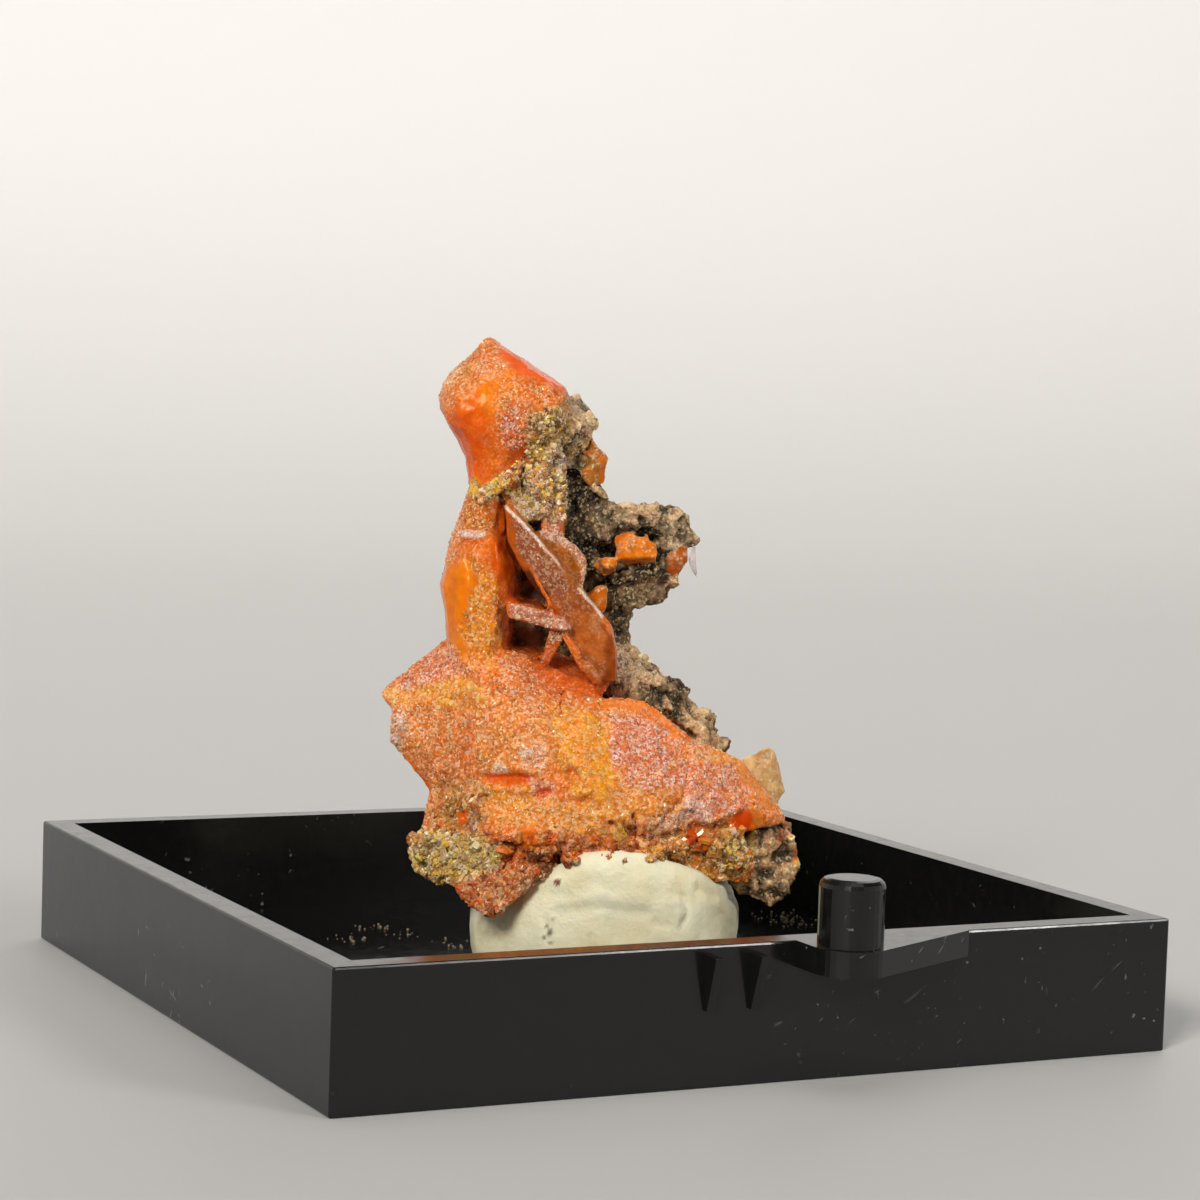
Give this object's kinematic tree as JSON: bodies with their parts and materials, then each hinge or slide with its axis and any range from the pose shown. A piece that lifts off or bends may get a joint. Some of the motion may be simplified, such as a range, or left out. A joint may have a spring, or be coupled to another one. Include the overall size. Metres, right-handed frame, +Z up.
{
  "type": "wulfenite mineral specimen on a display box base",
  "caption": "Orange wulfenite crystals on dark rock matrix, set in putty on the square black plastic base of a small specimen box.",
  "frame": {"origin": "centre of the underside of the box base", "axes": "+Z up, the box's four walls face +X, -X, +Y and -Y, and -Y is the wall that carries the tab and pin"},
  "size_m": [0.032, 0.0346, 0.0247],
  "materials": {
    "box": "glossy black moulded plastic with fine scratches and dust",
    "putty": "smooth cream putty with a soft sheen",
    "wulfenite": "resinous translucent orange crystal, frosted and druzy in places",
    "matrix": "rough dark brown and tan rock with pale grains",
    "tan_crystal": "cloudy translucent tan crystal",
    "white_crystal": "pale glassy cleavage sliver"
  },
  "bodies": {
    "root": {"box_base": "box", "putty": "putty", "wulfenite_crust": "wulfenite", "matrix_rock": "matrix", "tan_crystal_block": "tan_crystal", "head_side_crystal": "wulfenite", "arm_plate_crystal": "wulfenite", "stem_crystal": "wulfenite", "arm_tip_crystal": "wulfenite", "arm_tip_sliver": "white_crystal"}
  },
  "joints": []
}
